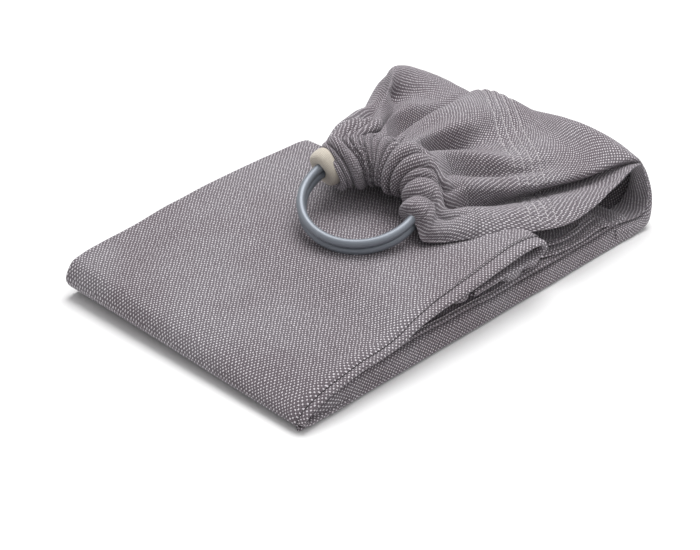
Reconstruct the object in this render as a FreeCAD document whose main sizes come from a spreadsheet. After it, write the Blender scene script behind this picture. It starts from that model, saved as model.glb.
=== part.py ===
import FreeCAD, Part
import Sketcher
import os

# Folded ring sling: a long woven carrier cloth folded into a flat packet, its pleated
# shoulder laid back over the top, and two rings held in the gathered end of the shoulder.
# Row frame: origin on the floor under the middle of the packet, +X along the packet
# towards its shoulder end, +Y across its width towards the back, +Z up.
# Positions in the table are counted from the packet's left front bottom corner.

DIMENSIONS = {
    "packet_length": 366,
    "packet_width": 230,
    "layer_inset": 1,           # the layers' folded edges stop this far inside the packet
    "clearance": 0.3,           # gap between neighbouring pieces
    # bottom layer and the fold at the left end
    "bottom_thick": 5,
    "left_fold_radius": 12.5,
    "left_fold_thick": 4.3,
    # top layer: it climbs from the left fold to a fold under the shoulder
    "top_thick": 4,
    "top_end_x": 226,
    "top_end_height": 42,
    "top_fold_radius": 4.3,
    # inner layers: pressed together at the left, fanned out at the right
    "inner_thick_left": 3.6,
    "inner_thick_right": 5,
    "inner_gap": 0.25,
    "inner_end_x": 318,
    "inner_low_height": 6,
    "inner_middle_height": 13,
    "inner_high_height": 20,
    # loose pleats, between the top pair of layers and the inner ones
    "pleat_start_x": 150,
    "pleat_pitch": 15,
    "pleat_thick": 2.2,
    "pleat_height": 21.2,
    "pleat_climb": 0.2,
    "pleat_rise": 3,
    "pleat_growth": 0.3,
    "pleat_front": 8,
    "pleat_depth": 150,
    # loop at the right end, where the cloth turns up and over
    "end_fold_radius": 25,
    "end_fold_thick": 4.5,
    # shoulder: oval sections at its neck, in its middle and at the end loop
    "neck_x": 236,
    "neck_y": 118,
    "neck_height": 66,
    "neck_half_width": 57,
    "neck_half_thick": 14,
    "fan_x": 290,
    "fan_y": 114,
    "fan_height": 57,
    "fan_half_width": 101,
    "fan_half_thick": 10.5,
    "fan_end_half_width": 113,
    # rows of stitching that hold the pleats of the shoulder
    "stitch_start_x": 286,
    "stitch_spacing": 8,
    "stitch_thick": 0.6,
    "stitch_width": 1,
    # gathered neck between the shoulder and the rings
    "gather_x": 203,
    "gather_height": 70,
    "gather_half_width": 52,
    "gather_half_thick": 13,
    # rings, and the sleeve of cloth that is gathered round one half of them
    "ring_inside": 76.2,
    "ring_tube": 6.3,
    "ring_pitch": 6.7,          # from one ring's middle plane to the other's
    "ring_x": 163.3,
    "ring_y": 107.3,
    "ring_height": 60,
    "ring_lean": 21,            # angle between the rings and the floor
    "ring_turn": 27.2,          # the way they lean, turned from the packet's length
    "sleeve_radius": 13,
    "sleeve_start": -112,       # first end of the covered arc, round the rings' own axis
    "sleeve_sweep": 157,
    "sleeve_room": 0.4,         # room round each ring inside the sleeve
    "tape_radius": 11,
    "tape_start": 45.6,
    "tape_sweep": 12,
}

STITCH_ROWS = 4
PLEATS = 5

LEFT = "-sizes.packet_length / 2"
FRONT = "-sizes.packet_width / 2"
LAYER_DEPTH = "sizes.packet_width - 2 * sizes.layer_inset"
RING_RADIUS = "(sizes.ring_inside + sizes.ring_tube) / 2"
ACROSS = FreeCAD.Rotation(FreeCAD.Vector(1, 0, 0), -90)     # local Z turned to +Y
UPRIGHT = FreeCAD.Rotation(FreeCAD.Vector(0, 1, 0), FreeCAD.Vector(0, 0, 1),
                           FreeCAD.Vector(1, 0, 0))         # local X across, Y up, Z along

doc = FreeCAD.newDocument("ring_sling")
sheet = doc.addObject("Spreadsheet::Sheet", "sizes")
for row, (alias, value) in enumerate(DIMENSIONS.items(), start=1):
    sheet.set(f"A{row}", alias)
    sheet.set(f"B{row}", str(value))
    sheet.setAlias(f"B{row}", alias)
doc.recompute()

subparts = []


def size(text):
    """The present value of a dimension or of an expression."""
    return float(sheet.evalExpression(text))


def keep(obj, label):
    """Mark an object as a finished sub-part."""
    obj.Label = label
    subparts.append(obj)
    return obj


def add(kind, name, **expressions):
    """A Part object whose properties follow the sheet."""
    obj = doc.addObject(kind, name)
    for prop, text in expressions.items():
        obj.setExpression(prop, text)
    return obj


def place(obj, along, across, up, rotation=None):
    """Put an object at a point counted from the packet's left front bottom corner."""
    if rotation is not None:
        obj.Placement = FreeCAD.Placement(FreeCAD.Vector(), rotation)
    obj.setExpression(".Placement.Base.x", f"{LEFT} + {along}")
    obj.setExpression(".Placement.Base.y", f"{FRONT} + {across}")
    obj.setExpression(".Placement.Base.z", f"{up}")
    return obj


def combine(kind, name, base, tool):
    obj = doc.addObject(kind, name)
    obj.Base = base
    obj.Tool = tool
    return obj


def cloth_layer(label, outline, front="sizes.layer_inset", depth=LAYER_DEPTH):
    """A layer of cloth: its outline seen from the front, padded across the packet."""
    body = doc.addObject("PartDesign::Body", label)
    sketch = body.newObject("Sketcher::SketchObject", label + "_outline")
    plane = [o for o in body.Origin.OriginFeatures if o.Role == "XZ_Plane"][0]
    sketch.AttachmentSupport = [(plane, "")]
    sketch.MapMode = "FlatFace"
    corners = [FreeCAD.Vector(size(along), size(up), 0) for along, up in outline]
    for i, corner in enumerate(corners):
        sketch.addGeometry(Part.LineSegment(corner, corners[(i + 1) % len(corners)]))
    for i, (along, up) in enumerate(outline):
        sketch.addConstraint(Sketcher.Constraint("Coincident", i, 2, (i + 1) % len(outline), 1))
        across = sketch.addConstraint(Sketcher.Constraint("DistanceX", -1, 1, i, 1, corners[i].x))
        sketch.setExpression(f"Constraints[{across}]", along)
        if corners[i].y == 0:
            sketch.addConstraint(Sketcher.Constraint("PointOnObject", i, 1, -1))
        else:
            rise = sketch.addConstraint(Sketcher.Constraint("DistanceY", -1, 1, i, 1, corners[i].y))
            sketch.setExpression(f"Constraints[{rise}]", up)
    pad = body.newObject("PartDesign::Pad", label + "_pad")
    pad.Profile = sketch
    pad.Reversed = True
    pad.setExpression("Length", depth)
    body.Tip = pad
    return keep(place(body, "0", front, "0"), label)


def half_pipe(name, radius, sign):
    """A half cylinder lying across the packet, bulging to the right (1) or left (-1)."""
    half = add("Part::Cylinder", name, Radius=radius, Height=LAYER_DEPTH)
    half.Angle = 180
    half.Placement.Rotation = ACROSS * FreeCAD.Rotation(FreeCAD.Vector(0, 0, 1), -90 * sign)
    return half


def cloth_fold(label, along, up, outside, thick, sign):
    """The half-round fold that joins two layers."""
    outer = half_pipe(label + "_outside", outside, sign)
    inner = half_pipe(label + "_inside", f"{outside} - {thick}", sign)
    for half in (outer, inner):
        place(half, along, "sizes.layer_inset", up, half.Placement.Rotation)
    return keep(combine("Part::Cut", label, outer, inner), label)


def oval(name, along, across, up, half_width, half_thick):
    """An upright oval section, square to the packet's length."""
    section = add("Part::Ellipse", name, MajorRadius=half_width, MinorRadius=half_thick)
    return place(section, along, across, up, UPRIGHT)


def oval_loft(name, sections):
    loft = doc.addObject("Part::Loft", name)
    loft.Sections = sections
    loft.Solid = True
    loft.Ruled = True
    return loft


def ring_rotation(turn):
    """Lean of the rings, then a turn round their own axis."""
    lean = FreeCAD.Rotation(FreeCAD.Vector(0, 1, 0), -size("sizes.ring_lean"))
    heading = FreeCAD.Rotation(FreeCAD.Vector(0, 0, 1), size("sizes.ring_turn"))
    return heading * lean * FreeCAD.Rotation(FreeCAD.Vector(0, 0, 1), turn)


def ring_place(obj, drop, turn=0):
    """Put an object on the rings' axis, below the upper ring by drop ring pitches."""
    axis = ring_rotation(0).multVec(FreeCAD.Vector(0, 0, 1))
    shift = f"{drop} * sizes.ring_pitch"
    return place(obj, f"sizes.ring_x - {axis.x} * {shift}", f"sizes.ring_y - {axis.y} * {shift}",
                 f"sizes.ring_height - {axis.z} * {shift}", ring_rotation(turn))


def ring_torus(name, section, drop, turn=0, sweep=None):
    torus = add("Part::Torus", name, Radius1=RING_RADIUS, Radius2=section)
    if sweep:
        torus.setExpression("Angle3", sweep)
    return ring_place(torus, drop, turn)


# ---- packet: layers ------------------------------------------------------------------
LEFT_FOLD_X = "sizes.left_fold_radius"
FOLD_X = f"{LEFT_FOLD_X} + sizes.clearance"
END_X = "sizes.packet_length - sizes.end_fold_radius"
LEFT_TOP = "2 * sizes.left_fold_radius"
INNER_STEP = "(sizes.inner_thick_left + sizes.inner_gap)"


def inner_base(level):
    """Underside of an inner layer at the left end, counted up from the lowest."""
    return f"sizes.bottom_thick + sizes.clearance + {level} * {INNER_STEP}"


def tapering_layer(label, left_base, left_thick, right_x, right_base, right_thick):
    """A layer that starts at the left end fold and ends at right_x."""
    end = f"{right_x} - sizes.clearance"
    cloth_layer(label, [
        (FOLD_X, left_base),
        (end, right_base),
        (end, f"{right_base} + {right_thick}"),
        (FOLD_X, f"{left_base} + {left_thick}"),
    ])


tapering_layer("bottom_layer", "0", "sizes.bottom_thick", END_X, "0", "sizes.bottom_thick")
for level, name in enumerate(("low", "middle", "high")):
    tapering_layer(f"inner_layer_{name}", inner_base(level), "sizes.inner_thick_left",
                   "sizes.inner_end_x", f"sizes.inner_{name}_height", "sizes.inner_thick_right")
tapering_layer("upper_inner_layer", inner_base(3), "sizes.inner_thick_left", "sizes.top_end_x",
               "sizes.top_end_height - 2 * sizes.top_fold_radius", "sizes.inner_thick_left")
tapering_layer("top_layer", f"{LEFT_TOP} - sizes.top_thick", "sizes.top_thick", "sizes.top_end_x",
               "sizes.top_end_height - sizes.top_thick", "sizes.top_thick")

# ---- packet: folds that join the layers ------------------------------------------------
cloth_fold("left_end_fold", LEFT_FOLD_X, "sizes.left_fold_radius",
           "sizes.left_fold_radius", "sizes.left_fold_thick", -1)
cloth_fold("top_fold_right", "sizes.top_end_x", "sizes.top_end_height - sizes.top_fold_radius",
           "sizes.top_fold_radius", "sizes.inner_thick_left", 1)

pair_outside = f"({INNER_STEP} + sizes.inner_thick_left) / 2"
for level, name in ((0, "low"), (2, "high")):
    cloth_fold(f"inner_fold_left_{name}", LEFT_FOLD_X,
               f"{inner_base(level)} + {pair_outside}", pair_outside, "sizes.inner_thick_left", -1)

right_outside = ("(sizes.inner_high_height + sizes.inner_thick_right"
                 " - sizes.inner_middle_height) / 2")
cloth_fold("inner_fold_right", "sizes.inner_end_x", f"sizes.inner_middle_height + {right_outside}",
           right_outside, "sizes.inner_thick_right", 1)

# ---- packet: loose pleats ----------------------------------------------------------------
# A zigzag strip whose crests grow with the gap under the top pair of layers.
crests = [(f"sizes.pleat_start_x + {i} * sizes.pleat_pitch / 2",
           f"sizes.pleat_height + {i} * sizes.pleat_climb"
           f" + {i % 2} * (sizes.pleat_rise + {i} * sizes.pleat_growth)")
          for i in range(2 * PLEATS + 1)]
over_crests = [(along, f"{up} + sizes.pleat_thick") for along, up in reversed(crests)]
cloth_layer("loose_pleats", crests + over_crests, "sizes.pleat_front", "sizes.pleat_depth")

# ---- loop at the right end ---------------------------------------------------------------
cloth_fold("right_end_fold", END_X, "sizes.end_fold_radius", "sizes.end_fold_radius",
           "sizes.end_fold_thick", 1)

# ---- shoulder ----------------------------------------------------------------------------
END_LEVEL = "2 * sizes.end_fold_radius - sizes.end_fold_thick / 2"


def shoulder_loft(name, extra):
    """The shoulder's three sections, each grown by the same amount, lofted."""
    return oval_loft(name, [
        oval(name + "_neck", "sizes.neck_x", "sizes.neck_y", "sizes.neck_height",
             f"sizes.neck_half_width + {extra}", f"sizes.neck_half_thick + {extra}"),
        oval(name + "_middle", "sizes.fan_x", "sizes.fan_y", "sizes.fan_height",
             f"sizes.fan_half_width + {extra}", f"sizes.fan_half_thick + {extra}"),
        oval(name + "_end", f"{END_X} - sizes.clearance", "sizes.packet_width / 2", END_LEVEL,
             f"sizes.fan_end_half_width + {extra}", f"sizes.end_fold_thick / 2 + {extra}"),
    ])


keep(shoulder_loft("fan", "0"), "shoulder_fan")

for index in range(STITCH_ROWS):
    row_name = f"stitch_row_{index + 1}"
    slab = add("Part::Box", row_name + "_slab", Length="sizes.stitch_width",
               Width="sizes.packet_width", Height="4 * sizes.end_fold_radius")
    place(slab, f"sizes.stitch_start_x + {index} * sizes.stitch_spacing", "0", "0")
    grown = shoulder_loft(row_name + "_over", "sizes.clearance + sizes.stitch_thick")
    cleared = shoulder_loft(row_name + "_under", "sizes.clearance")
    skin = combine("Part::Cut", row_name + "_skin", grown, cleared)
    keep(combine("Part::Common", row_name + "_band", skin, slab), row_name)

# ---- rings ---------------------------------------------------------------------------------
keep(ring_torus("upper", "sizes.ring_tube / 2", 0), "ring_upper")
keep(ring_torus("lower", "sizes.ring_tube / 2", 1), "ring_lower")


def ring_channel(name):
    """The space that both rings need inside the sleeve."""
    channel = [ring_torus(f"{name}_{drop}", "sizes.ring_tube / 2 + sizes.sleeve_room", drop)
               for drop in (0, 1)]
    return combine("Part::Fuse", name, channel[0], channel[1])


def round_the_rings(label, radius, start, sweep):
    """Cloth gathered round an arc of both rings."""
    arc = ring_torus(label + "_arc", radius, 0.5, size(start), sweep)
    return keep(combine("Part::Cut", label, arc, ring_channel(label + "_channel")), label)


round_the_rings("ring_sleeve", "sizes.sleeve_radius", "sizes.sleeve_start", "sizes.sleeve_sweep")
round_the_rings("edge_tape", "sizes.tape_radius", "sizes.tape_start", "sizes.tape_sweep")

gather = oval_loft("gather", [
    oval("gather_front", "sizes.gather_x", "sizes.neck_y", "sizes.gather_height",
         "sizes.gather_half_width", "sizes.gather_half_thick"),
    oval("gather_back", "sizes.neck_x - sizes.clearance", "sizes.neck_y", "sizes.neck_height",
         "sizes.neck_half_width", "sizes.neck_half_thick"),
])
sleeve_room = ring_torus("sleeve_room", "sizes.sleeve_radius + sizes.clearance", 0.5)
keep(combine("Part::Cut", "neck", gather, sleeve_room), "gathered_neck")

# ---- check and write -------------------------------------------------------------------------
doc.recompute()
for obj in doc.Objects:
    if "Invalid" in obj.State or "Error" in obj.State:
        raise RuntimeError(f"{obj.Label} failed: {obj.State}")

os.makedirs("parts", exist_ok=True)
for obj in subparts:
    shape = obj.Shape
    if shape.isNull() or not shape.isValid() or shape.Volume <= 0:
        raise RuntimeError(f"{obj.Label} has no valid solid")
    box = shape.BoundBox
    print(f"{obj.Label:24s} solids {len(shape.Solids)}  {shape.Volume / 1000:8.2f} cm3  "
          f"x {box.XMin:7.1f} {box.XMax:7.1f}  y {box.YMin:7.1f} {box.YMax:7.1f}  "
          f"z {box.ZMin:6.1f} {box.ZMax:6.1f}")
    shape.exportStep(f"parts/{obj.Label}.step")
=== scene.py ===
import math

import bpy
import numpy as np
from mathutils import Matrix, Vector, noise


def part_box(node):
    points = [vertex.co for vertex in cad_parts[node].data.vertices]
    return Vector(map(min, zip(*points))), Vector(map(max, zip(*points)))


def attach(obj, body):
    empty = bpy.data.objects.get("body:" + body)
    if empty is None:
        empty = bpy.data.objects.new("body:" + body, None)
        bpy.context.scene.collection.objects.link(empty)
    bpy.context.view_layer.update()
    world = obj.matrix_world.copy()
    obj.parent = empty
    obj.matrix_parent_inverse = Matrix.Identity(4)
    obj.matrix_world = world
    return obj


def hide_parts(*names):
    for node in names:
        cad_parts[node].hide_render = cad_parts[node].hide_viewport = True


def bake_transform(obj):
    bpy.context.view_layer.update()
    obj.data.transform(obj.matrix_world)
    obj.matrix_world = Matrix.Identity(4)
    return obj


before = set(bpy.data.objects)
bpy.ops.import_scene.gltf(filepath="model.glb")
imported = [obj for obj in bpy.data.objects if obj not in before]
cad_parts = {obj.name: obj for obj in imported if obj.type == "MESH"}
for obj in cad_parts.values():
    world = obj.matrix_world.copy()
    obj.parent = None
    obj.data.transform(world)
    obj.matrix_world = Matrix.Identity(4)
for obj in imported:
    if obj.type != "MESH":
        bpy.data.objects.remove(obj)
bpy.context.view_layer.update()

MM = 0.001


# ---------------------------------------------------------------- frame
# Packet coordinates: millimetres from the packet's left, front, bottom corner.
# The cloth may reach REVEAL past the bottom layer's box at the front and at the back.
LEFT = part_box("left_end_fold")[0][0] / MM
REVEAL = 1.0
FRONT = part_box("bottom_layer")[0][1] / MM - REVEAL
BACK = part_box("bottom_layer")[1][1] / MM + REVEAL
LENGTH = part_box("right_end_fold")[1][0] / MM - LEFT
WIDTH = BACK - FRONT
ORIGIN = np.array([LEFT, FRONT, 0.0])

RING_LOW, RING_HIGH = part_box("ring_upper")
RING_CENTRE = (np.array(RING_LOW) + np.array(RING_HIGH)) / 2 / MM - ORIGIN
RING_INSIDE = 76.2
RING_TUBE = 6.3
RING_PITCH = 6.7
RING_RADIUS = (RING_INSIDE + RING_TUBE) / 2
RING_LEAN = math.radians(21.0)
RING_TURN = math.radians(27.2)
RING_OUT = np.array([math.cos(RING_TURN) * math.cos(RING_LEAN),
                     math.sin(RING_TURN) * math.cos(RING_LEAN),
                     math.sin(RING_LEAN)])
RING_SIDE = np.array([-math.sin(RING_TURN), math.cos(RING_TURN), 0.0])
RING_NORMAL = np.cross(RING_OUT, RING_SIDE)
PAIR_CENTRE = RING_CENTRE - RING_NORMAL * RING_PITCH / 2


def in_row(points):
    return (np.asarray(points, float) + ORIGIN) * MM


# ---------------------------------------------------------------- curves
def tangents(points, knots):
    gaps = np.diff(knots)
    shape = (-1,) + (1,) * (points.ndim - 1)
    slopes = np.diff(points, axis=0) / gaps.reshape(shape)
    result = np.empty_like(points)
    result[0] = slopes[0]
    result[-1] = slopes[-1]
    before = gaps[:-1].reshape(shape)
    after = gaps[1:].reshape(shape)
    result[1:-1] = (slopes[:-1] * after + slopes[1:] * before) / (before + after)
    return result


def through(points, knots, at):
    """A smooth curve through points, given at the knots, read at other places."""
    points = np.asarray(points, float)
    knots = np.asarray(knots, float)
    at = np.clip(np.asarray(at, float), knots[0], knots[-1])
    slope = tangents(points, knots)
    k = np.clip(np.searchsorted(knots, at, side="right") - 1, 0, len(knots) - 2)
    shape = (-1,) + (1,) * (points.ndim - 1)
    h = (knots[k + 1] - knots[k]).reshape(shape)
    t = ((at - knots[k]) / (knots[k + 1] - knots[k])).reshape(shape)
    a = (2 * t ** 3 - 3 * t ** 2 + 1) * points[k]
    b = (t ** 3 - 2 * t ** 2 + t) * h * slope[k]
    c = (3 * t ** 2 - 2 * t ** 3) * points[k + 1]
    d = (t ** 3 - t ** 2) * h * slope[k + 1]
    return a + b + c + d


def chord_knots(points):
    steps = np.linalg.norm(np.diff(np.asarray(points, float), axis=0), axis=1)
    return np.concatenate([[0.0], np.cumsum(np.maximum(steps, 1e-6))])


def at_x(table, x):
    """A smooth height or place given at a few x, read at other x."""
    table = np.asarray(table, float)
    return through(table[:, 1], table[:, 0], x)


def soft(low, high, x):
    t = np.clip((x - low) / (high - low), 0, 1)
    return t * t * (3 - 2 * t)


def waves(points, size, seed):
    """Smooth noise from -1 to 1 at packet points, with features of about the given size in mm."""
    flat = np.asarray(points, float).reshape(-1, 3) / size
    shift = Vector((seed * 7.3, seed * 3.1, seed * 5.7))
    values = [noise.noise(Vector(p) + shift) for p in flat]
    return np.array(values).reshape(np.asarray(points).shape[:-1])


# ---------------------------------------------------------------- meshes
def put_in_scene(name, data):
    thing = bpy.data.objects.new(name, data)
    bpy.context.scene.collection.objects.link(thing)
    return thing


def lengths_along(grid, axis):
    steps = np.linalg.norm(np.diff(grid, axis=axis), axis=2)
    pad = [(0, 0), (0, 0)]
    pad[axis] = (1, 0)
    return np.pad(np.cumsum(steps, axis=axis), pad)


def cloth(name, grid, material, thickness=1.0, start=(0.0, 0.0), across=None, grain=1.2):
    """A sheet of cloth through a grid of packet points.

    Its UVs are metres of cloth, times its grain. Start is where it begins on the woven pattern, in mm.
    """
    rows, columns = grid.shape[:2]
    mesh = bpy.data.meshes.new(name)
    index = np.arange(rows * columns).reshape(rows, columns)
    quads = np.stack([index[:-1, :-1], index[1:, :-1], index[1:, 1:], index[:-1, 1:]], axis=-1)
    quads = quads.reshape(-1, 4)
    mesh.from_pydata(in_row(grid).reshape(-1, 3).tolist(), [], quads.tolist())
    along = lengths_along(grid, 0).mean(axis=1, keepdims=True) + np.zeros((1, columns))
    if across is None:
        across = lengths_along(grid, 1).mean(axis=0, keepdims=True) + np.zeros((rows, 1))
    uv = np.stack([along + start[0], across + start[1]], axis=-1).reshape(-1, 2) * MM * grain
    layer = mesh.uv_layers.new(name="weave")
    layer.data.foreach_set("uv", uv[quads.reshape(-1)].reshape(-1))
    mesh.polygons.foreach_set("use_smooth", [True] * len(mesh.polygons))
    mesh.materials.append(material)
    piece = put_in_scene(name, mesh)
    shell = piece.modifiers.new("cloth thickness", "SOLIDIFY")
    shell.thickness = thickness * MM
    shell.offset = 0.0
    shell.use_rim = True
    return piece


def join(pieces, name):
    bpy.ops.object.select_all(action="DESELECT")
    for piece in pieces:
        piece.select_set(True)
    bpy.context.view_layer.objects.active = pieces[0]
    bpy.ops.object.join()
    pieces[0].name = name
    pieces[0].data.name = name
    return pieces[0]


# ---------------------------------------------------------------- materials
# The size of one cell of the woven pattern, in mm along and across the cloth, before its grain.
WEAVE_ALONG = 3.57
WEAVE_ACROSS = 2.95


class Nodes:
    """A few short calls for writing a node material."""

    def __init__(self, name):
        self.material = bpy.data.materials.new(name)
        self.material.use_nodes = True
        self.tree = self.material.node_tree
        self.tree.nodes.clear()
        self.shader = self.tree.nodes.new("ShaderNodeBsdfPrincipled")
        output = self.tree.nodes.new("ShaderNodeOutputMaterial")
        self.tree.links.new(self.shader.outputs[0], output.inputs[0])

    def put(self, socket, value):
        if hasattr(value, "is_output"):
            self.tree.links.new(value, socket)
        else:
            socket.default_value = value

    def math(self, operation, a, b=0.0, c=0.0):
        node = self.tree.nodes.new("ShaderNodeMath")
        node.operation = operation
        for socket, value in zip(node.inputs, (a, b, c)):
            self.put(socket, value)
        return node.outputs[0]

    def step(self, value, low, high):
        node = self.tree.nodes.new("ShaderNodeMapRange")
        node.interpolation_type = "SMOOTHSTEP"
        self.put(node.inputs["Value"], value)
        node.inputs["From Min"].default_value = low
        node.inputs["From Max"].default_value = high
        return node.outputs[0]

    def mix(self, factor, a, b):
        node = self.tree.nodes.new("ShaderNodeMix")
        node.data_type = "RGBA"
        self.put(node.inputs[0], factor)
        for socket, value in ((node.inputs[6], a), (node.inputs[7], b)):
            self.put(socket, value if hasattr(value, "is_output") else (*value, 1.0))
        return node.outputs[2]

    def noise(self, scale, vector, detail=2.0):
        node = self.tree.nodes.new("ShaderNodeTexNoise")
        node.inputs["Scale"].default_value = scale
        node.inputs["Detail"].default_value = detail
        node.inputs["Roughness"].default_value = 0.5
        self.put(node.inputs["Vector"], vector)
        return node.outputs[0]

    def place(self):
        return self.tree.nodes.new("ShaderNodeTexCoord").outputs["Object"]

    def bump(self, height, distance, strength):
        node = self.tree.nodes.new("ShaderNodeBump")
        node.inputs["Strength"].default_value = strength
        node.inputs["Distance"].default_value = distance
        self.put(node.inputs["Height"], height)
        self.put(self.shader.inputs["Normal"], node.outputs[0])

    def set(self, **values):
        for name, value in values.items():
            self.put(self.shader.inputs[name.replace("_", " ")], value)


def weave_waves(nodes):
    """The two directions of the cloth as angles, one turn to a weave cell."""
    uv = nodes.tree.nodes.new("ShaderNodeUVMap")
    uv.uv_map = "weave"
    split = nodes.tree.nodes.new("ShaderNodeSeparateXYZ")
    nodes.put(split.inputs[0], uv.outputs[0])
    turn = 2 * math.pi / MM
    drift = nodes.noise(60.0, uv.outputs[0])
    wobble = nodes.math("MULTIPLY", nodes.math("SUBTRACT", drift, 0.5), 1.6)
    uneven = nodes.math("MULTIPLY_ADD", nodes.noise(230.0, uv.outputs[0]), 3.0, -1.5)
    drift_along = nodes.math("ADD", wobble, uneven)
    drift_across = nodes.math("SUBTRACT", wobble, uneven)
    along = nodes.math("MULTIPLY_ADD", split.outputs[0], turn / WEAVE_ALONG, drift_along)
    across = nodes.math("MULTIPLY_ADD", split.outputs[1], turn / WEAVE_ACROSS, drift_across)
    return uv.outputs[0], along, across


def woven_cloth():
    """Mauve-grey cloth with staggered pale dots. The slubs in its yarn make the dots uneven."""
    nodes = Nodes("woven cloth")
    uv, along, across = weave_waves(nodes)
    cells = nodes.math("MULTIPLY", nodes.math("COSINE", along), nodes.math("COSINE", across))
    slub = nodes.noise(700.0, uv, detail=3.0)
    fleck = nodes.math("MULTIPLY_ADD", slub, 1.5, -0.75)
    dots = nodes.step(nodes.math("ADD", cells, fleck), 0.30, 0.72)
    fine_along = nodes.math("COSINE", nodes.math("MULTIPLY", along, 2.0))
    fine_across = nodes.math("COSINE", nodes.math("MULTIPLY", across, 2.0))
    threads = nodes.math("MULTIPLY", fine_along, fine_across)
    grooves = nodes.step(threads, -1.0, 0.6)
    place = nodes.place()
    cloud = nodes.step(nodes.noise(16.0, place, detail=3.0), 0.35, 0.68)
    warm = nodes.mix(cloud, (0.162, 0.138, 0.155), (0.210, 0.193, 0.213))
    dark = nodes.mix(grooves, (0.074, 0.058, 0.068), warm)
    pale = nodes.mix(cloud, (0.700, 0.655, 0.695), (0.790, 0.755, 0.795))
    colour = nodes.mix(dots, dark, pale)
    nodes.set(Base_Color=colour, Roughness=nodes.math("MULTIPLY_ADD", slub, 0.2, 0.72))
    nodes.shader.inputs["Sheen Weight"].default_value = 0.30
    nodes.shader.inputs["Sheen Roughness"].default_value = 0.45
    nodes.shader.inputs["Sheen Tint"].default_value = (0.90, 0.88, 0.93, 1.0)
    nodes.shader.inputs["Specular IOR Level"].default_value = 0.22
    relief = nodes.math("MULTIPLY_ADD", dots, 0.6, nodes.math("MULTIPLY", grooves, 0.4))
    nodes.bump(relief, 0.0004, 0.7)
    return nodes.material


def cream_tape():
    """Cream tape with three ribs to a weave cell."""
    nodes = Nodes("cream tape")
    uv, along, _ = weave_waves(nodes)
    ribs = nodes.step(nodes.math("SINE", nodes.math("MULTIPLY", along, 3.0)), -1.0, 1.0)
    grain = nodes.noise(500.0, uv, detail=3.0)
    base = nodes.mix(grain, (0.60, 0.54, 0.45), (0.78, 0.73, 0.65))
    colour = nodes.mix(ribs, (0.52, 0.46, 0.38), base)
    nodes.set(Base_Color=colour, Roughness=0.85)
    nodes.shader.inputs["Sheen Weight"].default_value = 0.25
    nodes.shader.inputs["Sheen Roughness"].default_value = 0.5
    nodes.bump(ribs, 0.00025, 0.6)
    return nodes.material


def pale_thread():
    nodes = Nodes("pale thread")
    place = nodes.place()
    grain = nodes.noise(1800.0, place)
    colour = nodes.mix(grain, (0.38, 0.35, 0.37), (0.68, 0.65, 0.67))
    nodes.set(Base_Color=colour, Roughness=0.7)
    nodes.shader.inputs["Sheen Weight"].default_value = 0.3
    nodes.bump(grain, 0.0002, 0.5)
    return nodes.material


def ring_metal():
    """Dull blue-grey metal with a thin clear coat."""
    nodes = Nodes("ring metal")
    place = nodes.place()
    cloud = nodes.noise(55.0, place, detail=3.0)
    grain = nodes.noise(2600.0, place)
    colour = nodes.mix(cloud, (0.200, 0.222, 0.258), (0.262, 0.286, 0.326))
    rough = nodes.math("MULTIPLY_ADD", grain, 0.14, 0.38)
    nodes.set(Base_Color=colour, Roughness=rough)
    nodes.shader.inputs["Metallic"].default_value = 0.35
    nodes.shader.inputs["Specular IOR Level"].default_value = 0.5
    nodes.shader.inputs["Coat Weight"].default_value = 0.12
    nodes.shader.inputs["Coat Roughness"].default_value = 0.30
    nodes.bump(grain, 0.00006, 0.35)
    return nodes.material


def floor_paint():
    nodes = Nodes("studio floor")
    nodes.set(Base_Color=(0.93, 0.93, 0.93, 1.0), Roughness=0.9)
    nodes.shader.inputs["Specular IOR Level"].default_value = 0.1
    return nodes.material


CLOTH = woven_cloth()
TAPE = cream_tape()
THREAD = pale_thread()
METAL = ring_metal()


# ---------------------------------------------------------------- the folded packet
# From the middle of one ply to the middle of the next.
PLY = 1.3
# The top of the bottom layer's front band, as (x, height).
BAND_HEIGHT = [(0, 5), (12, 9), (34, 13), (51, 14.5), (88, 15), (120, 15), (154, 14),
               (198, 12.5), (250, 12.5), (296, 12.5), (331, 13), (350, 13)]
# The middle ply of the top layer at its front and back edges, as (x, height), from under the left end
# round to the inside of the right fold.
TOP_FRONT = [(44, 2.6), (18, 2.4), (6, 3.4), (1.6, 6.6), (5, 10.6), (16, 15.6), (33, 20), (53, 23),
             (89, 26.5), (105, 31), (129, 34), (161, 37), (194, 40), (212, 42), (224, 42), (232.4, 39.4),
             (234.4, 34.6), (230, 30.4), (216, 29.2), (190, 28.6), (160, 28)]
TOP_BACK = [(44, 2.6), (20, 2.6), (8, 5), (2.4, 13), (7, 22), (16, 25.3), (33, 27), (53, 28.5),
            (89, 32.5), (105, 33.5), (129, 35.5), (161, 36), (194, 36.2), (212, 36.2), (224, 36), (232, 34),
            (233.6, 31.4), (229, 29.2), (214, 28.6), (190, 28), (160, 27)]


def three_plies(bulge):
    """Across the cloth: to the back, folded, back to the front, folded, and to the back again.

    Gives the share of the way from front to back, then the height over the middle ply. The lower ply
    hangs bulge times as far below the middle ply as the upper one lies above it.
    """
    turn = np.linspace(0, math.pi, 7)[1:-1]
    share = (1 - np.cos(np.linspace(0, math.pi, 26))) / 2
    rows = [(y, PLY) for y in share]
    rows += [(1 + 0.004 * math.sin(a), PLY * (0.5 + 0.5 * math.cos(a))) for a in turn]
    rows += [(1 - y, 0.0) for y in share]
    rows += [(-bulge * 0.006 * math.sin(a), -PLY * bulge * (0.5 - 0.5 * math.cos(a))) for a in turn]
    rows += [(y, -PLY * bulge) for y in share]
    return np.array(rows).T


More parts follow.
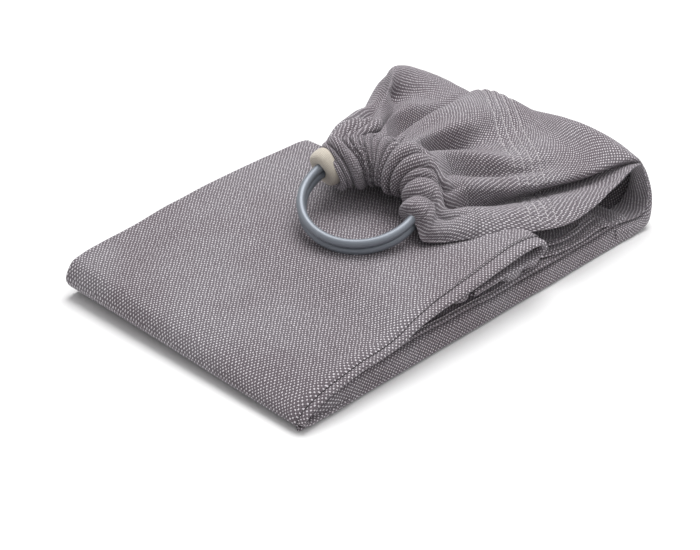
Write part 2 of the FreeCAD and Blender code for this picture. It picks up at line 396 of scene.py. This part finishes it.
def ribbon(front_path, back_path, count, edge, seed, setback, inset=1.5, bulge=1.0):
    """Three plies of cloth along a path that may differ at the front and at the back.

    Edge is the y of the fold at the front, as one number or as (x, y) places. Inset is how far short
    of the back edge the cloth stops. Setback is how far the upper ply's hem lies behind the front, as
    (x, setback).
    """
    front_path = np.asarray(front_path, float)
    back_path = np.asarray(back_path, float)
    knots = chord_knots((front_path + back_path) / 2)
    places = np.linspace(0, knots[-1], count)
    front_line = through(front_path, knots, places)
    back_line = through(back_path, knots, places)
    share, heights = three_plies(bulge)
    front_points = np.stack([front_line[:, 0], np.zeros(count), front_line[:, 1]], -1)
    sway = waves(front_points, 45.0, seed)
    ripple = waves(front_points, 14.0, seed + 5)
    if not np.isscalar(edge):
        edge = at_x(edge, front_line[:, 0])
    y_front = edge + 1.2 * sway + 0.35 * ripple
    y_back = WIDTH - inset - sway[::-1]
    t = np.clip(share, 0, 1)
    blend = (0.5 * t + 0.5 * t ** 2 * (3 - 2 * t))[None, :, None]
    mid = front_line[:, None, :] * (1 - blend) + back_line[:, None, :] * blend
    way = np.gradient(mid, axis=0)
    way /= np.linalg.norm(way, axis=2, keepdims=True)
    out = np.stack([-way[..., 1], way[..., 0]], axis=-1)
    y = y_front[:, None] + share[None, :] * (y_back - y_front)[:, None]
    hem = (heights == PLY) & (share < 0.3)
    y_hem = y_front + at_x(setback, front_line[:, 0])
    y[:, hem] = np.maximum(y[:, hem], y_hem[:, None])
    x = mid[..., 0] + out[..., 0] * heights[None, :]
    z = mid[..., 1] + out[..., 1] * heights[None, :]
    return np.stack([x, y, z], axis=-1)


def top_layer():
    """The three plies on top, with the hem of the upper one a little behind the front fold."""
    hem = [(0, 1.6), (70, 1.6), (105, 2.6), (135, 5.0), (170, 6.6), (215, 6.6), (236, 4.5)]
    grid = ribbon(TOP_FRONT, TOP_BACK, 190, edge=3.0, seed=2, setback=hem, bulge=2.2)
    level = grid * [1, 1, 0.2]
    swell = waves(level, 70.0, 3) * 0.9 + waves(level, 26.0, 4) * 0.28
    grid[..., 2] += swell * soft(8, 30, grid[..., 0]) * soft(22, 30, grid[..., 2])
    return cloth("packet_top_layer", grid, CLOTH, grain=1.1)


def band_profile(x, height):
    """The outermost ply at the front: flat on the floor, then an upright band tucked in at its top."""
    on_floor = [(60, 1.0), (30, 0.9), (14, 0.8), (6.5, 0.8), (2.6, 1.0), (1.1, 2.0), (1.5, 4.0)]
    upright = [(2.6, 0.42 * height), (3.4, 0.6 * height), (4.0, 0.82 * height), (5.2, 0.95 * height)]
    tucked_in = [(8.0, height), (13.0, height - 0.6), (22.0, height - 1.6)]
    return [(x, y, z) for y, z in on_floor + upright + tucked_in]


# Half a cloth's thickness and a hair, so that the lowest ply lies on the floor and not in it.
ABOVE_FLOOR = 0.55


def bottom_layer():
    """The outermost ply at the front, which is drawn in towards the packet at the left end."""
    xs = np.linspace(1.5, LENGTH - 36, 130)
    heights = at_x(BAND_HEIGHT, xs)
    rows = []
    for x, height in zip(xs, heights):
        profile = np.array(band_profile(x, height))
        knots = chord_knots(profile)
        rows.append(through(profile, knots, np.linspace(0, knots[-1], 44)))
    grid = np.array(rows)
    grid[..., 0] += 14 * soft(2, 20, grid[..., 1]) * soft(40, 0, grid[..., 0])
    push = waves(grid * [1, 0.2, 0.2], 38.0, 11) * 1.5 + waves(grid * [1, 0.3, 1.5], 13.0, 12) * 0.35
    grid[..., 1] += push * soft(1.0, 5.0, grid[..., 2])
    grid[..., 1] += 1.5 * soft(26, 0, grid[..., 0])
    grid[..., 2] = np.maximum(grid[..., 2], ABOVE_FLOOR)
    return cloth("packet_bottom_layer", grid, CLOTH, start=(0.0, 40.0))


# The three folded layers between the bottom and the top: start x, end x, lift over the band at the
# front, height at the back, and the front edge as (x, y).
INNER_STACK = (
    (10, 331, 4.2, 5.04, [(0, 5), (60, 6), (331, 5.5)]),
    (46, 312, 8.0, 11.48, [(0, 24), (215, 24), (245, 9), (312, 8)]),
    (58, 304, 12.0, 18.0, [(0, 28), (228, 28), (255, 12), (304, 13)]),
)
# The underside of the top layer at the front, as (x, height), and the lift that reaches right up to it.
INNER_ROOF = [(0, 8), (33, 17), (89, 23), (129, 29), (194, 33), (240, 34), (290, 38), (331, 40)]
INNER_FULL_LIFT = 14.0
INNER_SETBACK = [(0, 0.8), (366, 0.8)]


def inner_layers():
    """The folded layers in the middle of the packet, kept under the top layer at the front."""
    pieces = []
    for order, (start, end, lift, height_back, edge) in enumerate(INNER_STACK):
        seed = 21 + order
        xs = np.linspace(start, end, 12)
        low = at_x(BAND_HEIGHT, xs)
        room = at_x(INNER_ROOF, xs) - low
        height = low + np.minimum(lift, room * (0.15 + lift / INNER_FULL_LIFT))
        front = np.stack([xs, height], -1)
        back = np.stack([xs, np.full(len(xs), height_back)], -1)
        grid = ribbon(front, back, 90, edge=edge, seed=seed, setback=INNER_SETBACK, inset=3.0)
        grid[..., 2] += waves(grid * [1, 0.2, 0], 33.0, seed + 3) * 0.9
        grid[..., 2] = np.maximum(grid[..., 2], 1.2)
        pieces.append(cloth(f"inner_{order}", grid, CLOTH, start=(0.0, 90.0 * order)))
    return join(pieces, "packet_inner_layers")


# The hollow at the front between the band and the top layer, as (x, mm): how deep it goes, and its roof.
HOLLOW_DEPTH = [(100, 13), (130, 22), (185, 24), (205, 11), (222, 9), (238, 16)]
HOLLOW_ROOF = [(100, 29), (129, 33), (161, 35), (194, 36), (225, 35), (238, 29)]
PLEAT_WIDTH = 25.0
PLEAT_FRONT = 5.5


def loose_pleats():
    """Cloth crumpled into scallops in the hollow under the top layer."""
    xs = np.linspace(100, 238, 220)
    phase = (xs - 156) / PLEAT_WIDTH + 0.06 * np.sin(xs / 9.0)
    depth = np.abs(np.cos(math.pi * phase)) ** 1.3 * soft(132, 146, xs)
    hollow = at_x(HOLLOW_DEPTH, xs)
    floor = at_x(BAND_HEIGHT, xs) + 3.0
    roof = at_x(HOLLOW_ROOF, xs)
    rows = []
    for t in np.linspace(0, 1, 26):
        fullness = 0.45 + 0.55 * math.sin(math.pi * t)
        y = hollow - depth * (hollow - PLEAT_FRONT) * fullness
        z = floor + (roof - floor) * t
        rows.append(np.stack([xs + 4.0 * t * np.sin(2 * math.pi * phase), y, z], -1))
    grid = np.swapaxes(np.array(rows), 0, 1)
    grid[..., 1] += waves(grid, 12.0, 31)
    return cloth("packet_loose_pleats", grid, CLOTH, start=(0.1, 0.3))


# ---------------------------------------------------------------- shoulder, neck and sleeve
# Each guide is a line of the cloth: its angle where it goes over the rings, then the points it passes
# from the top of the right-end loop to the neck. They go from the back edge to the front edge.
GUIDES = [
    (56, (341, 229, 52), (318, 228, 43), (292, 225, 41), (272, 214, 40), (238, 204, 42), (203, 180, 50)),
    (53, (343, 227, 55), (318, 227, 51), (296, 224, 53), (276, 215, 50), (243, 206, 51), (210, 186, 58)),
    (50, (345, 222, 58), (319, 223, 62), (300, 221, 63), (281, 207, 60), (252, 197, 63), (218, 187, 65)),
    (46, (346, 217, 60), (321, 218, 68), (303, 216, 69), (286, 203, 61), (247, 186, 56), (213, 176, 60)),
    (42, (347, 211, 61), (322, 213, 73), (305, 212, 75), (286, 198, 66), (242, 180, 57), (206, 167, 74)),
    (35, (347, 204, 61), (322, 205, 73), (303, 205, 77), (284, 193, 74), (246, 178, 60), (217, 164, 77)),
    (26, (348, 196, 60), (319, 197, 69), (296, 200, 74), (275, 188, 73), (246, 173, 69), (223, 158, 79)),
    (19, (348, 187, 58), (316, 187, 63), (291, 192, 62), (272, 182, 64), (248, 168, 69), (222, 149, 78)),
    (14, (348, 180, 57), (314, 176, 61), (286, 180, 64), (268, 176, 60), (248, 165, 58), (220, 145, 66)),
    (10, (348, 174, 56), (313, 168, 60), (284, 169, 67), (262, 167, 69), (240, 156, 72), (216, 139, 77)),
    (5, (348, 168, 55), (312, 160, 55), (287, 157, 50), (261, 158, 53), (237, 148, 58), (213, 133, 63)),
    (0, (349, 158, 61), (316, 150, 68), (288, 148, 70), (262, 144, 70), (239, 137, 72), (214, 126, 76)),
    (-5, (350, 144, 65), (320, 137, 70), (292, 133, 71), (263, 132, 70), (237, 128, 70), (213, 118, 74)),
    (-9, (350, 128, 64), (321, 122, 68), (293, 118, 69), (262, 120, 71), (236, 119, 73), (213, 111, 77)),
    (-12, (350, 116, 62), (322, 108, 63), (291, 108, 58), (262, 117, 46), (239, 116, 44), (222, 109, 57)),
    (-17, (350, 104, 61.5), (322, 92, 60), (288, 92, 58), (261, 108, 56), (238, 109, 59), (218, 102, 66)),
    (-27, (350, 78, 65), (319, 62, 61), (284, 62, 63), (257, 84, 68), (237, 99, 70), (217, 97, 74)),
    (-36, (350, 54, 65), (317, 44, 58), (283, 51, 56), (256, 71, 53), (236, 87, 53), (216, 86, 57)),
    (-45, (351, 34, 60.5), (315, 34, 55), (282, 43, 56), (254, 59, 58), (228, 77, 63), (211, 77, 67)),
    (-54, (352, 14, 54), (312, 28, 50), (283, 36, 51), (254, 50, 52), (226, 66, 58), (206, 69, 61)),
    (-62, (350, 18, 48), (312, 40, 40), (284, 49, 39), (256, 57, 38), (228, 64, 39), (205, 66, 45)),
    (-72, (350, 16, 49.5), (314, 26, 42), (286, 31, 43.5), (252, 39, 45.5), (216, 54, 52), (196, 60, 56)),
    (-86, (351, 13, 50), (317, 14, 44), (288, 17, 46), (254, 22, 47), (210, 44, 52), (187, 55, 55)),
    (-101, (352, 11, 50.5), (317, 9, 46), (290, 8, 43), (256, 9, 42), (204, 37, 47), (176, 52, 51)),
    (-112, (353, 10, 50), (318, 7, 46), (290, 5, 40.5), (256, 6, 39.5), (200, 34, 42), (168, 52, 46)),
]
# The outer ply ends at this guide, and the ones after it are the ply folded in under it.
PANEL_EDGE = 19
# Where the deep creases are along the ring, on its outside and where they run together under it, and
# how far the lobe before each crease stands up.
CREASES_OUTSIDE = (-116, -84, -63, -52, -37, -20, -12, -2, 5, 12, 17, 24, 30, 42, 46.5, 52, 62)
CREASES_UNDER = (-116, -84, -63, -52, -37, -21, -13, -9.5, -7.5, -5, -2, 2, 6, 31, 42, 50, 62)
LOBES = (5.5, 7.0, 6.5, 10.5, 11.5, 7.5, 9.0, 8.5, 9.5, 8.0, 9.5, 8.5, 11.0, 8.0, 8.5, 6.5)
# The middle of the lobes and creases, which is where the guides are.
LOBE_LEVEL = 5.8
# How far the sleeve lies from the middle of the ring's tube, outwards and upwards, the angles of its
# points round the tubes, and how far it hangs below them.
SLEEVE_OUT = 12.0
SLEEVE_UP = 12.5
SLEEVE_ANGLES = (40, 68, 98, 132, 166, 200, 236, 272)
SLEEVE_HANG = 6.0
# The grid has rows about this far apart, and this many columns from guide to guide.
GRID_STEP = 2.2
GRID_FINE = 12
LOOP_POINTS = 6


def on_sleeve(angle, around, grow=0.0):
    """A point of the sleeve, at an angle along the ring and, from outside over the top, around it."""
    a = math.radians(angle)
    b = math.radians(around)
    spoke = RING_OUT * math.cos(a) + RING_SIDE * math.sin(a)
    centre = PAIR_CENTRE + spoke * RING_RADIUS
    outwards = spoke * math.cos(b) * (SLEEVE_OUT + grow)
    upwards = RING_NORMAL * math.sin(b) * (SLEEVE_UP + grow)
    return centre + outwards + upwards


def loop_start(order, y):
    """How far inside the outermost ply a guide goes round the loop, and its first two points."""
    if order < PANEL_EDGE - 1:
        y_low = {PANEL_EDGE - 3: 30.0, PANEL_EDGE - 2: 6.0}.get(order, y)
        return 0.0, [(318, y_low, 0.9), (340, y_low, 1.2)]
    if order == PANEL_EDGE - 1:
        return 0.6, [(318, 1.0, 2.2), (340, 1.0, 2.4)]
    if order == PANEL_EDGE:
        return 4.0, [(318, 4.6, 13.8), (338, 4.0, 11.0)]
    if order == PANEL_EDGE + 1:
        return 4.4, [(306, 26.0, 18.0), (332, 26.0, 11.5)]
    y_low = (18.0, 11.0, 6.0, 3.6)[order - PANEL_EDGE - 2]
    return 6.2, [(302, y_low, 21.5), (332, y_low, 14.8)]


def loop_part(order, y, z):
    """The guide's way round the right-end loop, from the bottom layer up to the loop's top at y, z."""
    right = LENGTH - 0.6
    inward, wall = loop_start(order, y)
    y_low = wall[0][1]
    y_high = y_low * 0.35 + y * 0.65
    wall.append((357 - inward * 0.9, y_low, 6.5 + inward * 1.1))
    wall.append((right - 1.2 - inward, y_low * 0.8 + y_high * 0.2, 18 + inward * 0.2))
    wall.append((right - inward, y_low * 0.5 + y_high * 0.5, z * 0.56))
    wall.append((right - 4.0 - inward * 0.8, y_high, z * 0.83))
    return wall


def guide_line(order, angle, points):
    """One guide, from the bottom layer round the loop, along the shoulder and round the sleeve."""
    line = loop_part(order, *points[0][1:]) + list(points)
    hang = SLEEVE_HANG * soft(-65, -15, angle) * soft(60, 48, angle)
    tight = -3.4 * soft(44, 52, angle) - 5.0 * soft(-103, -112, angle)
    for around in SLEEVE_ANGLES:
        droop = hang * max(0.0, math.cos(math.radians(around - 205))) ** 2
        line.append(tuple(on_sleeve(angle, around, droop + tight)))
    return line


def shoulder_grid():
    """The whole shoulder as one grid, with how far along the cloth its rows are.

    Rows go from the loop to under the rings, and columns from back to front. With it come the guides'
    places among the rows, and each column's angle on the ring.
    """
    lines = [guide_line(order, angle, points) for order, (angle, *points) in enumerate(GUIDES)]
    lines = np.array(lines, float)
    knots = chord_knots(lines.mean(axis=0))
    places = []
    for a, b in zip(knots[:-1], knots[1:]):
        steps = max(3, int(round((b - a) / GRID_STEP)))
        places += list(np.linspace(a, b, steps, endpoint=False))
    places = np.array(places + [knots[-1]])
    dense = np.array([through(line, knots, places) for line in lines])
    guides = np.arange(len(GUIDES))
    columns = np.linspace(0, len(GUIDES) - 1, (len(GUIDES) - 1) * GRID_FINE + 1)
    grid = np.swapaxes(through(dense, guides, columns), 0, 1)
    angles = np.interp(columns, guides, [guide[0] for guide in GUIDES])
    return grid, places, knots, angles


def normals_of(grid):
    down = np.gradient(grid, axis=0)
    side = np.gradient(grid, axis=1)
    out = np.cross(side, down)
    return out / np.maximum(np.linalg.norm(out, axis=2, keepdims=True), 1e-9)


def outward(grid):
    """The grid's normals, on the side that faces away from the rings."""
    out = normals_of(grid)
    return out * np.sign((out * (grid - PAIR_CENTRE)).sum(axis=2).mean())


def crease_height(angles, around):
    """Rounded lobes with sharp creases between them, which run together under the ring."""
    heights = np.zeros((len(around), len(angles)))
    for row, place in enumerate(around):
        under = soft(70, 215, place)
        edges = np.array(CREASES_OUTSIDE) * (1 - under) + np.array(CREASES_UNDER) * under
        where = np.interp(angles, edges, np.arange(len(edges)))
        lobe = np.clip(where.astype(int), 0, len(LOBES) - 1)
        t = np.clip(where - lobe, 0.0, 1.0)
        narrow = np.clip((edges[lobe + 1] - edges[lobe]) / 4.0, 0.45, 1.0)
        heights[row] = np.array(LOBES)[lobe] * narrow * np.maximum(4 * t * (1 - t), 0.0) ** 0.42
    at_edges = soft(55, 47, angles) * (0.35 + 0.65 * soft(-112, -100, angles))
    return heights * at_edges[None, :]


# The first row of stitches goes from ROW_START to ROW_END, as (x, y), and the others follow it.
ROW_START = (237.0, 16.0)
ROW_END = (345.0, 155.0)
ROW_STEP = 8.0
ROW_COUNT = 4
ROWS_FROM_HEIGHT = 36.0
STITCHES_FROM_HEIGHT = 38.0
PUCKER_DEPTH = 1.5
PUCKER_WIDTH = 1.6
DIMPLE_PLACE = (290.0, 194.0, 64.0)
DIMPLE_DEPTH = 4.0
DIMPLE_WIDTH = 6.5
STITCH_LENGTH = 3.1
STITCH_EVERY = 3.9
STITCH_LIFT = 0.6
# The thread's radius along one stitch, and how many corners it has round it.
STITCH_RADII = (0.12, 0.38, 0.45, 0.38, 0.12)
STITCH_SIDES = 6


def past_rows(points):
    """How far a point lies past the first row of stitches, in row steps.

    The rows cross the shoulder slantwise.
    """
    slant = (ROW_END[0] - ROW_START[0]) / (ROW_END[1] - ROW_START[1])
    return (points[..., 0] - ROW_START[0] - slant * (points[..., 1] - ROW_START[1])) / ROW_STEP


def pucker(grid):
    """The cloth sinks a little at each row of stitches."""
    past = past_rows(grid)
    near = np.abs(past - np.round(past)) * ROW_STEP
    in_rows = (np.round(past) >= 0) & (np.round(past) < ROW_COUNT)
    in_rows &= grid[..., 2] > ROWS_FROM_HEIGHT
    return np.exp(-(near / PUCKER_WIDTH) ** 2) * in_rows * PUCKER_DEPTH


def dimple(grid):
    """The small pit pressed into the side of the puff at the back."""
    far = np.linalg.norm(grid - np.array(DIMPLE_PLACE), axis=2)
    return DIMPLE_DEPTH * np.exp(-(far / DIMPLE_WIDTH) ** 2)


def row_line(grid, out, past, row):
    """Where a row of stitches crosses the grid's columns on the upper face, each with the normal there."""
    line = []
    for column in range(4, grid.shape[1] - 6):
        cross = np.where((past[:-1, column] - row) * (past[1:, column] - row) <= 0)[0]
        cross = [k for k in cross if grid[k, column, 2] > STITCHES_FROM_HEIGHT and out[k, column, 2] > 0.0]
        if not cross:
            continue
        k = cross[-1]
        t = (row - past[k, column]) / (past[k + 1, column] - past[k, column] + 1e-9)
        spot = grid[k, column] * (1 - t) + grid[k + 1, column] * t
        line.append((spot, out[k, column]))
    return line


def stitch_tube(path, ups, first):
    """One stitch as a closed tube along a path, with its first vertex numbered first."""
    way = (path[-1] - path[0]) / (np.linalg.norm(path[-1] - path[0]) + 1e-9)
    side = np.cross(way, ups.mean(axis=0))
    side /= np.linalg.norm(side) + 1e-9
    vertices = []
    for spot, up, size in zip(path, ups, STITCH_RADII):
        for turn in np.linspace(0, 2 * math.pi, STITCH_SIDES, endpoint=False):
            height = STITCH_LIFT + size * 0.8 * math.cos(turn)
            vertices.append(spot + up * height + side * size * math.sin(turn))
    faces = []
    for ring in range(len(STITCH_RADII) - 1):
        for k in range(STITCH_SIDES):
            a = first + ring * STITCH_SIDES + k
            b = first + ring * STITCH_SIDES + (k + 1) % STITCH_SIDES
            faces.append((a, b, b + STITCH_SIDES, a + STITCH_SIDES))
    last = first + (len(STITCH_RADII) - 1) * STITCH_SIDES
    faces.append(tuple(range(first, first + STITCH_SIDES)))
    faces.append(tuple(range(last + STITCH_SIDES - 1, last - 1, -1)))
    return vertices, faces


def stitch_rows(grid):
    """Short raised stitches along each row, on the outer face of the shoulder."""
    out = outward(grid)
    past = past_rows(grid)
    vertices = []
    faces = []
    for row in range(ROW_COUNT):
        line = row_line(grid, out, past, row)
        if len(line) < 8:
            continue
        spots = np.array([spot for spot, up in line])
        ups = np.array([up for spot, up in line])
        knots = chord_knots(spots)
        for start in np.arange(2.0, knots[-1] - 5.0, STITCH_EVERY):
            reach = np.linspace(start, start + STITCH_LENGTH, len(STITCH_RADII))
            path = np.stack([np.interp(reach, knots, spots[:, i]) for i in range(3)], -1)
            lift = np.stack([np.interp(reach, knots, ups[:, i]) for i in range(3)], -1)
            if np.linalg.norm(path[-1] - path[0]) > STITCH_LENGTH + 1.4:
                continue
            tube = stitch_tube(path, lift, len(vertices))
            vertices += tube[0]
            faces += tube[1]
    mesh = bpy.data.meshes.new("shoulder_stitches")
    mesh.from_pydata(in_row(vertices).tolist(), [], faces)
    mesh.polygons.foreach_set("use_smooth", [True] * len(mesh.polygons))
    mesh.materials.append(THREAD)
    return put_in_scene("shoulder_stitches", mesh)


def gathered_shoulder():
    """The shoulder's grid with its lobes and creases, its rows of puckers and its ripples."""
    grid, places, knots, angles = shoulder_grid()
    seam = soft(16, 4, places)[:, None] * soft(12, 2, grid[..., 1]) * (grid[..., 2] < 16)
    grid[..., 1] += 1.3 * seam
    first_sleeve = len(knots) - len(SLEEVE_ANGLES)
    share = soft(knots[first_sleeve - 2] - 6, knots[first_sleeve - 1] + 4, places)[:, None]
    around = np.interp(places, knots[first_sleeve - 1:], (15,) + SLEEVE_ANGLES)
    height = crease_height(angles, around)
    out = outward(grid)
    grid = grid + out * ((height - LOBE_LEVEL) * share)[..., None]
    grid = grid - out * (pucker(grid) + dimple(grid))[..., None]
    loop_end = knots[LOOP_POINTS]
    flat = soft(loop_end - 30, loop_end + 20, places)[:, None]
    ripple = waves(grid, 30.0, 41) * 1.5 + waves(grid * [0.5, 1, 1], 13.0, 42) * 0.6
    grid = grid + out * (ripple * flat * (1 - 0.6 * share))[..., None]
    return grid, places, knots


def even_rows(lengths, reach=9):
    """Evens the lengths out from row to row, so that the weave doesn't shear from crease to crease."""
    rows = len(lengths)
    step = np.arange(rows)
    pull = np.exp(-0.5 * ((step[:, None] - step[None, :]) / reach) ** 2)
    return (pull @ lengths) / pull.sum(axis=1)[:, None]


def split_shoulder():
    """The shoulder's cloth as three pieces that meet, and the grid that they are all cut from."""
    grid, places, knots = gathered_shoulder()
    neck = np.searchsorted(places, knots[-len(SLEEVE_ANGLES) - 2])
    sleeve = np.searchsorted(places, knots[-len(SLEEVE_ANGLES)])
    across = even_rows(lengths_along(grid, 1))
    across = across - across[:, across.shape[1] // 2][:, None]
    along = lengths_along(grid, 0).mean(axis=1)
    parts = {}
    end = len(grid) - 1
    cuts = (("shoulder_cloth", 0, neck), ("neck_cloth", neck, sleeve), ("sleeve_cloth", sleeve, end))
    for name, a, b in cuts:
        part = grid[a:b + 1]
        parts[name] = cloth(name, part, CLOTH, start=(along[a], 0.0), across=across[a:b + 1])
    return parts, grid


# The tape's section, as (angle on the ring, how far outside the sleeve), from under the sleeve's end to
# where it closes down on the rings. One degree is about 0.7 mm there.
TAPE_SECTION = [(46, -2.0), (46.6, 0.6), (49, 1.2), (52, 1.1), (56, 0.4),
                (58.4, -0.9), (59.4, -3.0), (59.2, -5.2), (58.4, -7.0)]
TAPE_DEGREE = 0.7


def tape_band():
    """Tape round the end of the sleeve. It closes down onto the rings, so the sleeve has no open end."""
    knots = chord_knots([(angle * TAPE_DEGREE, grow) for angle, grow in TAPE_SECTION])
    section = through(TAPE_SECTION, knots, np.linspace(0, knots[-1], 22))
    rows = []
    for angle, grow in section:
        row = []
        for around in np.linspace(-60, 280, 72):
            wave = 0.35 * math.sin(math.radians(around * 5))
            row.append(on_sleeve(angle, around, grow + wave))
        rows.append(row)
    return cloth("tape_band", np.array(rows), TAPE, thickness=0.8)


# ---------------------------------------------------------------- stage, camera and lights
def stage():
    size = 6.0
    mesh = bpy.data.meshes.new("studio_floor")
    corners = [(-size, -size, 0), (size, -size, 0), (size, size, 0), (-size, size, 0)]
    mesh.from_pydata(corners, [], [(0, 1, 2, 3)])
    mesh.materials.append(floor_paint())
    floor = put_in_scene("studio_floor", mesh)


def camera():
    """The photo's camera: on the packet's left and front, looking down on it with a long lens."""
    bearing = math.radians(44.254)
    dip = math.radians(31.034)
    distance = 1200.0
    target = np.array([155.868, 110.323, 0.0])
    level = np.array([math.cos(bearing), math.sin(bearing), 0.0])
    forward = level * math.cos(dip) - np.array([0.0, 0.0, math.sin(dip)])
    data = bpy.data.cameras.new("camera")
    data.lens = 88.3
    data.sensor_width = 36.0
    eye = put_in_scene("camera", data)
    eye.location = Vector(in_row(target - forward * distance))
    eye.rotation_mode = "QUATERNION"
    eye.rotation_quaternion = Vector(forward).to_track_quat("-Z", "Y")
    bpy.context.scene.camera = eye


LAMP_SIZE = 1.6
KEY_POWER = 36.0
FILL_POWER = 6.0
SKY_STRENGTH = 0.42


def lamp(name, place, power):
    """A round soft lamp that points at the frame's origin."""
    data = bpy.data.lights.new(name, "AREA")
    data.shape = "DISK"
    data.size = LAMP_SIZE
    data.energy = power
    light = put_in_scene(name, data)
    light.location = place
    light.rotation_mode = "QUATERNION"
    light.rotation_quaternion = (-Vector(place)).to_track_quat("-Z", "Y")


def lights():
    """A white sky, a key lamp almost overhead and a little behind, and a weak fill from the front."""
    world = bpy.data.worlds.new("studio")
    world.use_nodes = True
    sky = world.node_tree.nodes["Background"]
    sky.inputs["Color"].default_value = (1.0, 1.0, 1.0, 1.0)
    sky.inputs["Strength"].default_value = SKY_STRENGTH
    bpy.context.scene.world = world
    bpy.context.scene.view_settings.view_transform = "Standard"
    lamp("key", (0.55, 0.30, 1.75), KEY_POWER)
    lamp("fill", (-0.3, -1.2, 1.6), FILL_POWER)


# ---------------------------------------------------------------- the assembly
def ring_finish():
    for name in ("ring_upper", "ring_lower"):
        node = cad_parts[name]
        node.data.materials.clear()
        node.data.materials.append(METAL)


def packet():
    """The layers that stay put when the shoulder moves."""
    top = top_layer()
    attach(top, "folded_wrap")
    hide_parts("top_layer", "left_end_fold", "top_fold_right", "upper_inner_layer")
    bottom = bottom_layer()
    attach(bottom, "folded_wrap")
    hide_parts("bottom_layer")
    inner = inner_layers()
    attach(inner, "folded_wrap")
    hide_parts("inner_fold_left_high", "inner_layer_high", "inner_fold_right", "inner_layer_middle",
                "inner_fold_left_low", "inner_layer_low")
    pleats = loose_pleats()
    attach(pleats, "folded_wrap")
    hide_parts("loose_pleats")


def shoulder():
    """The cloth from the right-end loop to over the rings, its stitches, and the tape at its end."""
    parts, grid = split_shoulder()
    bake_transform(parts["shoulder_cloth"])
    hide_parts("right_end_fold", "shoulder_fan")
    stitches = stitch_rows(grid)
    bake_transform(stitches)
    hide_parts("stitch_row_1", "stitch_row_2", "stitch_row_3", "stitch_row_4")
    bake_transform(parts["neck_cloth"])
    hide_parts("gathered_neck")
    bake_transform(parts["sleeve_cloth"])
    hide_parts("ring_sleeve")
    tape = tape_band()
    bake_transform(tape)
    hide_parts("edge_tape")


stage()
camera()
lights()
ring_finish()
packet()
shoulder()
